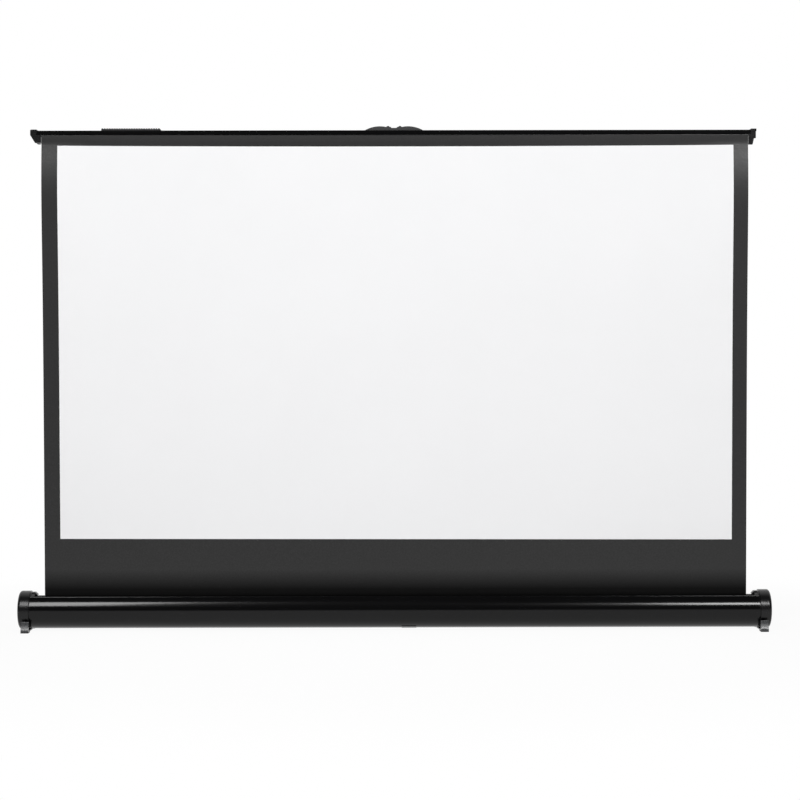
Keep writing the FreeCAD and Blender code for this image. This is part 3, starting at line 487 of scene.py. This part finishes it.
def steps(marks, step):
    """Places between marks, no further apart than a step."""
    places = [marks[0]]
    for start, end in zip(marks, marks[1:]):
        count = max(1, math.ceil((end - start) / step))
        places += [start + (end - start) * at / count for at in range(1, count)] + [end]
    return places


class SCREEN_OT_fabric(bpy.types.Operator):
    """Builds the stretched sheet: white picture, black border and leader, black backing"""
    bl_idname = "projection_screen.fabric"
    bl_label = "Screen fabric"

    def execute(self, context):
        fabric = settings("fabric")
        left = FABRIC_LOW.x + fabric.left_border
        right = FABRIC_HIGH.x - fabric.right_border
        columns = steps([FABRIC_LOW.x, left, right, FABRIC_HIGH.x], fabric.mesh_step)
        hem_foot = FABRIC_HIGH.z - fabric.hem
        rows = steps([FABRIC_LOW.z, fabric.picture_foot, fabric.picture_head, hem_foot], fabric.mesh_step)
        rows += steps([hem_foot, FABRIC_HIGH.z], fabric.hem / HEM_STEPS)[1:]
        sheet = bmesh.new()
        front, back = [
            [[sheet.verts.new(self.place(fabric, x, z, side)) for x in columns] for z in rows]
            for side in (-1, 1)
        ]
        for row in range(len(rows) - 1):
            for column in range(len(columns) - 1):
                middle_x = (columns[column] + columns[column + 1]) / 2
                middle_z = (rows[row] + rows[row + 1]) / 2
                seen = left < middle_x < right and fabric.picture_foot < middle_z < fabric.picture_head
                for grid, turn, kind in ((front, 1, 0 if seen else 1), (back, -1, 2)):
                    corners = [
                        grid[row][column], grid[row][column + 1],
                        grid[row + 1][column + 1], grid[row + 1][column],
                    ]
                    face = sheet.faces.new(corners[::turn])
                    face.material_index = kind
                    face.smooth = True
        rims = [
            ([row[0] for row in front], [row[0] for row in back]),
            ([row[-1] for row in back], [row[-1] for row in front]),
            (back[0], front[0]),
            (front[-1], back[-1]),
        ]
        for one, two in rims:
            for at in range(len(one) - 1):
                rim = sheet.faces.new((one[at], one[at + 1], two[at + 1], two[at]))
                rim.material_index = 1
                for edge in rim.edges:
                    edge.smooth = False
        piece = new_piece("screen_sheet", sheet, ("white", "border", "backing"))
        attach(piece, "casing")
        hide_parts("screen_fabric")
        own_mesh(piece)
        return {"FINISHED"}

    @staticmethod
    def place(fabric, x, z, side):
        """A point of the sheet's front (-1) or back (1), flat at the rail and inside the casing."""
        foot_y = FABRIC_HIGH.y - fabric.thick / 2
        head_y = FABRIC_LOW.y + fabric.thick / 2
        rise = (z - FABRIC_LOW.z) / (FABRIC_HIGH.z - FABRIC_LOW.z)
        share = (z - CASING_TOP) / (FABRIC_HIGH.z - CASING_TOP)
        hold = math.sin(math.pi * share) ** 0.7 if 0 < share < 1 else 0
        across = abs(x) / FABRIC_HIGH.x
        wave = math.sin(9 * x + 4 * z) * math.sin(7 * z + 1.3) + 0.5 * math.sin(23 * x - 5 * z)
        curl = max(0, (across - 1 + fabric.curl_share) / fabric.curl_share)
        lean = hold * (fabric.edge_curl * curl ** 2 + fabric.ripple * wave)
        below = FABRIC_HIGH.z - z
        bulge = fabric.hem_bulge * math.sin(math.pi * below / fabric.hem) if below < fabric.hem else 0
        drop = fabric.picture_sag * (1 - across ** 2) if z == fabric.picture_head else 0
        if z == fabric.picture_foot:
            drop = fabric.picture_skew * x / FABRIC_HIGH.x
        aside = FABRIC_HIGH.x - abs(x)
        swell = min(1, max(0, (fabric.corner_wide - aside) / (fabric.corner_wide - fabric.corner_flat)))
        depth = below / fabric.corner_drop
        bulge += fabric.corner_puff * swell ** 2 * (3 - 2 * swell) * (depth * math.exp(1 - depth)) ** 2
        y = foot_y + (head_y - foot_y) * rise + lean - bulge + side * fabric.thick / 2
        return x + fabric.aside, y, z - drop

    @staticmethod
    def closed_rise():
        """Height of the sheet when the arms are folded: their drop is taken away."""
        joints = {joint["name"]: joint for joint in frame["record"]["behaviour"]["joints"]}
        arm = Vector(joints["left_knee"]["pos_m"]) - Vector(joints["lift"]["pos_m"])
        opened = math.atan2(arm.z, -arm.x)
        closed = opened - math.radians(joints["lift"]["range_deg"][1])
        drop = 2 * arm.length * (math.sin(opened) - math.sin(closed))
        return FABRIC_HIGH.z - FABRIC_LOW.z - drop


class SCREEN_OT_winding(bpy.types.Operator):
    """Builds the turns of cloth that stay on the roller, as one spiral"""
    bl_idname = "projection_screen.winding"
    bl_label = "Wound cloth"

    def execute(self, context):
        fabric = settings("fabric")
        turns = fabric.turns_left
        centre_y = (WOUND_LOW.y + WOUND_HIGH.y) / 2
        centre_z = (WOUND_LOW.z + WOUND_HIGH.z) / 2
        outer = (WOUND_HIGH.z - WOUND_LOW.z) / 2
        inner = (ROLLER_HIGH.z - ROLLER_LOW.z) / 2
        layer = (outer - inner) / (turns + 1)
        thick = layer * fabric.wound_share
        clear = (layer - thick) / 2
        count = turns * TURN_STEPS
        roll = bmesh.new()
        rings = []
        for x in (WOUND_LOW.x, WOUND_HIGH.x):
            for lift in (0, thick):
                ring = []
                for at in range(count + 1):
                    turn = math.pi + 2 * math.pi * turns * (at / count - 1)
                    radius = inner + layer * turns * at / count + lift + clear
                    place = (x, centre_y + radius * math.cos(turn), centre_z - radius * math.sin(turn))
                    ring.append(roll.verts.new(place))
                rings.append(ring)
        low_in, low_out, high_in, high_out = rings
        for at in range(count):
            for one, two, kind in (
                (low_out, high_out, 0), (high_in, low_in, 1), (low_in, low_out, 0), (high_out, high_in, 0),
            ):
                face = roll.faces.new((one[at], one[at + 1], two[at + 1], two[at]))
                face.material_index = kind
                face.smooth = True
        for at, turn in ((0, 1), (count, -1)):
            roll.faces.new((low_in[at], low_out[at], high_out[at], high_in[at])[::turn])
        bmesh.ops.recalc_face_normals(roll, faces=roll.faces)
        piece = new_piece("wound_cloth", roll, ("border", "backing"))
        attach(piece, "roller")
        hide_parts("fabric_winding")
        return {"FINISHED"}


class SCREEN_OT_casing(bpy.types.Operator):
    """Finishes the casing tube, its caps, its roller brackets and its plug"""
    bl_idname = "projection_screen.casing"
    bl_label = "Casing"

    def execute(self, context):
        dress("anodised", "casing_tube")
        dress("plastic", "left_end_cap", "right_end_cap", "casing_plug")
        dress("plastic", "left_roller_bracket", "right_roller_bracket")
        return {"FINISHED"}


class SCREEN_OT_top_bar(bpy.types.Operator):
    """Finishes the top bar, its caps, its grip and its ribbed pad"""
    bl_idname = "projection_screen.top_bar"
    bl_label = "Top bar"

    def execute(self, context):
        dress("anodised", "top_bar_profile")
        dress("plastic", "top_bar_left_cap", "top_bar_right_cap", "keder_rod")
        dress("matt", "pull_grip")
        dress("rubber", "ribbed_pad")
        self.webs()
        return {"FINISHED"}

    @staticmethod
    def webs():
        """Webs under the front of the caps' lips; the left one slopes, the right one is stepped."""
        trim = settings("trim")
        aside = settings("fabric").aside
        top = BAR_CAP_TOP - trim.edge_round
        foot = BAR_LOW.z - trim.left_drop
        end = -BAR_CAP_END - trim.left_reach
        edge = FABRIC_LOW.x + aside - trim.web_gap
        left = [
            (edge, BAR_LOW.z), (edge, foot), (trim.web_foot - BAR_CAP_END, foot),
            (end, BAR_LOW.z - trim.left_lip), (end, top), (BAR_LOW.x, top), (BAR_LOW.x, BAR_LOW.z),
        ]
        foot = BAR_LOW.z - trim.right_drop
        step = BAR_LOW.z - trim.right_step
        end = BAR_CAP_END - trim.right_inset
        edge = FABRIC_HIGH.x + aside + trim.web_gap
        right = [
            (edge, BAR_LOW.z), (edge, foot), (BAR_CAP_END - trim.web_foot, foot),
            (BAR_CAP_END - trim.right_shelf, step), (end, step), (end, top), (BAR_HIGH.x, top),
            (BAR_HIGH.x, BAR_LOW.z),
        ]
        front = BAR_LOW.y + trim.web_back
        tool = bmesh.new()
        for outline in (left, right):
            add_prism(tool, outline, front, front + trim.web_deep)
        bmesh.ops.bevel(
            tool, geom=tool.edges[:], offset=trim.edge_round, segments=3, profile=0.5, affect="EDGES"
        )
        piece = new_piece("bar_cap_webs", tool, ("plastic",))
        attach(piece, "top_bar")


class SCREEN_OT_support(bpy.types.Operator):
    """Finishes the folding arms and their brackets"""
    bl_idname = "projection_screen.support"
    bl_label = "Folding support"

    def execute(self, context):
        dress("powder", "left_lower_arm", "left_upper_arm", "right_lower_arm", "right_upper_arm")
        dress("powder", "arm_base_bracket", "top_arm_bracket")
        return {"FINISHED"}


class SCREEN_OT_roller(bpy.types.Operator):
    """Finishes the roller and the spring inside it"""
    bl_idname = "projection_screen.roller"
    bl_label = "Roller"

    def execute(self, context):
        dress("aluminium", "roller_tube")
        dress("plastic", "left_roller_plug", "right_roller_plug", "spring_anchor")
        dress("zinc", "spring_shaft", "roller_gudgeon", "torsion_spring")
        return {"FINISHED"}


class SCREEN_OT_feet(bpy.types.Operator):
    """Finishes the swivel feet and their pads"""
    bl_idname = "projection_screen.feet"
    bl_label = "Feet"

    def execute(self, context):
        dress("powder", "left_foot", "right_foot")
        dress("rubber", "left_foot_pads", "right_foot_pads")
        return {"FINISHED"}


class SCREEN_OT_fasteners(bpy.types.Operator):
    """Finishes the pins, rivets, screws and washers"""
    bl_idname = "projection_screen.fasteners"
    bl_label = "Fasteners"

    def execute(self, context):
        dress("zinc", "base_bracket_rivets", "base_pivot_pins", "top_pivot_pins", "end_cap_screws")
        dress("zinc", "left_knee_pin", "right_knee_pin")
        dress("zinc", "grip_screws", "top_bracket_screws", "foot_pivot_screws")
        dress("plastic", "left_knee_washer", "right_knee_washer", "foot_washers")
        dress("powder", "left_toe_screw", "right_toe_screw")
        return {"FINISHED"}


class SCREEN_OT_studio(bpy.types.Operator):
    """Sets the floor, the white room, two softboxes and the camera"""
    bl_idname = "projection_screen.studio"
    bl_label = "Studio"

    def execute(self, context):
        studio = settings("studio")
        context.scene.view_settings.view_transform = "Standard"
        self.floor(studio)
        self.room(studio)
        for name, side in (("left", -1), ("right", 1)):
            self.softbox(studio, name, side)
        self.camera(studio)
        return {"FINISHED"}

    @staticmethod
    def ray_kinds(tree):
        """The light path, and a number that is 1 for rays in gloss and glass."""
        path = add_node(tree, "LightPath")
        glints = add_node(
            tree, "Math", {0: (path, "Is Glossy Ray"), 1: (path, "Is Transmission Ray")}, operation="ADD"
        )
        return path, glints

    def floor(self, studio):
        """A pale floor that keeps the object's shadow and turns plain white away from it."""
        material, tree = new_material("studio_floor_pale")
        path, glints = self.ray_kinds(tree)
        share = add_node(
            tree, "Math", {0: (path, "Is Camera Ray"), 1: (glints, 0)}, operation="ADD", use_clamp=True
        )
        place = add_node(tree, "TexCoord")
        away = add_node(tree, "VectorMath", {0: (place, "Object")}, operation="LENGTH")
        white_share = add_node(tree, "MapRange", {
            "Value": (away, "Value"), "From Min": studio.floor_near, "From Max": studio.floor_far,
            "To Min": studio.floor_lift, "To Max": 1.0,
        }, interpolation_type="SMOOTHSTEP")
        lift = add_node(tree, "Math", {0: (share, 0), 1: (white_share, 0)}, operation="MULTIPLY")
        paint = add_node(tree, "BsdfDiffuse", {"Color": rgba(studio.floor_pale)})
        white = add_node(tree, "Emission", {"Strength": 1.0})
        mixed = add_node(tree, "MixShader", {0: (lift, 0), 1: (paint, 0), 2: (white, 0)})
        add_node(tree, "OutputMaterial", {"Surface": (mixed, 0)})
        tool = bmesh.new()
        bmesh.ops.create_grid(tool, x_segments=1, y_segments=1, size=studio.floor_size / 2)
        mesh = bpy.data.meshes.new("studio_floor")
        tool.to_mesh(mesh)
        tool.free()
        mesh.materials.append(material)
        floor = bpy.data.objects.new("studio_floor", mesh)
        floor.location.z = CAD_BOX[0].z - FLOOR_GAP
        bpy.context.scene.collection.objects.link(floor)

    def room(self, studio):
        """White wherever it is looked at; the room behind the camera is dim in reflections."""
        world = bpy.data.worlds.new("studio_room")
        world.use_nodes = True
        tree = world.node_tree
        tree.nodes.clear()
        path, glints = self.ray_kinds(tree)
        way = add_node(tree, "TexCoord")
        parts = add_node(tree, "SeparateXYZ", {0: (way, "Generated")})
        behind = add_node(tree, "MapRange", {"Value": (parts, "Y"), "From Min": -0.1, "From Max": 0.3})
        mirrored = add_node(tree, "Math", {0: (glints, 0), 1: (behind, 0)}, operation="MULTIPLY")
        share = add_node(
            tree, "Math", {0: (path, "Is Camera Ray"), 1: (mirrored, 0)}, operation="ADD", use_clamp=True
        )
        level = add_node(tree, "MapRange", {
            "Value": (path, "Is Glossy Ray"), "To Min": studio.fill, "To Max": studio.gloss_fill,
        })
        dim = add_node(tree, "Background", {"Color": (1, 1, 1, 1), "Strength": (level, 0)})
        white = add_node(tree, "Background", {"Color": (1, 1, 1, 1), "Strength": 1.0})
        mixed = add_node(tree, "MixShader", {0: (share, 0), 1: (dim, 0), 2: (white, 0)})
        add_node(tree, "OutputWorld", {"Surface": (mixed, 0)})
        bpy.context.scene.world = world

    @staticmethod
    def softbox(studio, name, side):
        """A lamp in front of the screen, turned to its middle."""
        lamp = bpy.data.lights.new(f"{name}_softbox", "AREA")
        lamp.shape = "RECTANGLE"
        lamp.size = studio.box_width
        lamp.size_y = getattr(studio, f"{name}_tall")
        lamp.energy = getattr(studio, f"{name}_power")
        holder = bpy.data.objects.new(f"{name}_softbox", lamp)
        holder.location = (side * studio.box_aside, -studio.box_before, getattr(studio, f"{name}_up"))
        aim = (CAD_BOX[0] + CAD_BOX[1]) / 2 - holder.location
        holder.rotation_euler = aim.to_track_quat("-Z", "Y").to_euler()
        bpy.context.scene.collection.objects.link(holder)

    @staticmethod
    def camera(studio):
        """The camera in front of the screen's middle, as the photograph was taken."""
        lens = bpy.data.cameras.new("photo_camera")
        lens.sensor_width = SENSOR_MM
        lens.lens = studio.focal
        holder = bpy.data.objects.new("photo_camera", lens)
        level = Matrix.Rotation(math.radians(90) - studio.camera_dip, 4, "X")
        turn = Matrix.Rotation(-studio.camera_turn, 4, "Z")
        roll = Matrix.Rotation(studio.camera_roll, 4, "Z")
        place = Matrix.Translation((0, -studio.camera_back, studio.camera_height))
        holder.matrix_world = place @ turn @ level @ roll
        bpy.context.scene.collection.objects.link(holder)
        bpy.context.scene.camera = holder


PIECES = ("casing", "roller", "winding", "fabric", "support", "top_bar", "feet", "fasteners", "studio")


class SCREEN_PT_panel(bpy.types.Panel):
    """Lists the screen's pieces and their settings"""
    bl_idname = "SCREEN_PT_panel"
    bl_label = "Projection screen"
    bl_space_type = "VIEW_3D"
    bl_region_type = "UI"
    bl_category = "Screen"

    def draw(self, context):
        for kind in GROUPS:
            group = settings(kind)
            column = self.layout.column(align=True)
            for name in group.__annotations__:
                column.prop(group, name)
        for piece in PIECES:
            self.layout.operator(f"projection_screen.{piece}")


GROUPS = {
    "fabric": FabricSettings, "finish": FinishSettings, "trim": TrimSettings, "studio": StudioSettings,
}
CLASSES = (
    *GROUPS.values(), SCREEN_OT_fabric, SCREEN_OT_winding, SCREEN_OT_casing, SCREEN_OT_top_bar,
    SCREEN_OT_support, SCREEN_OT_roller, SCREEN_OT_feet, SCREEN_OT_fasteners, SCREEN_OT_studio,
    SCREEN_PT_panel,
)


def register():
    for item in CLASSES:
        bpy.utils.register_class(item)
    for kind, group in GROUPS.items():
        setattr(bpy.types.Scene, f"screen_{kind}", PointerProperty(type=group))


def unregister():
    for kind in GROUPS:
        delattr(bpy.types.Scene, f"screen_{kind}")
    for item in reversed(CLASSES):
        bpy.utils.unregister_class(item)


def main():
    register()
    for piece in PIECES:
        getattr(bpy.ops.projection_screen, piece)()


if __name__ == "__main__":
    main()
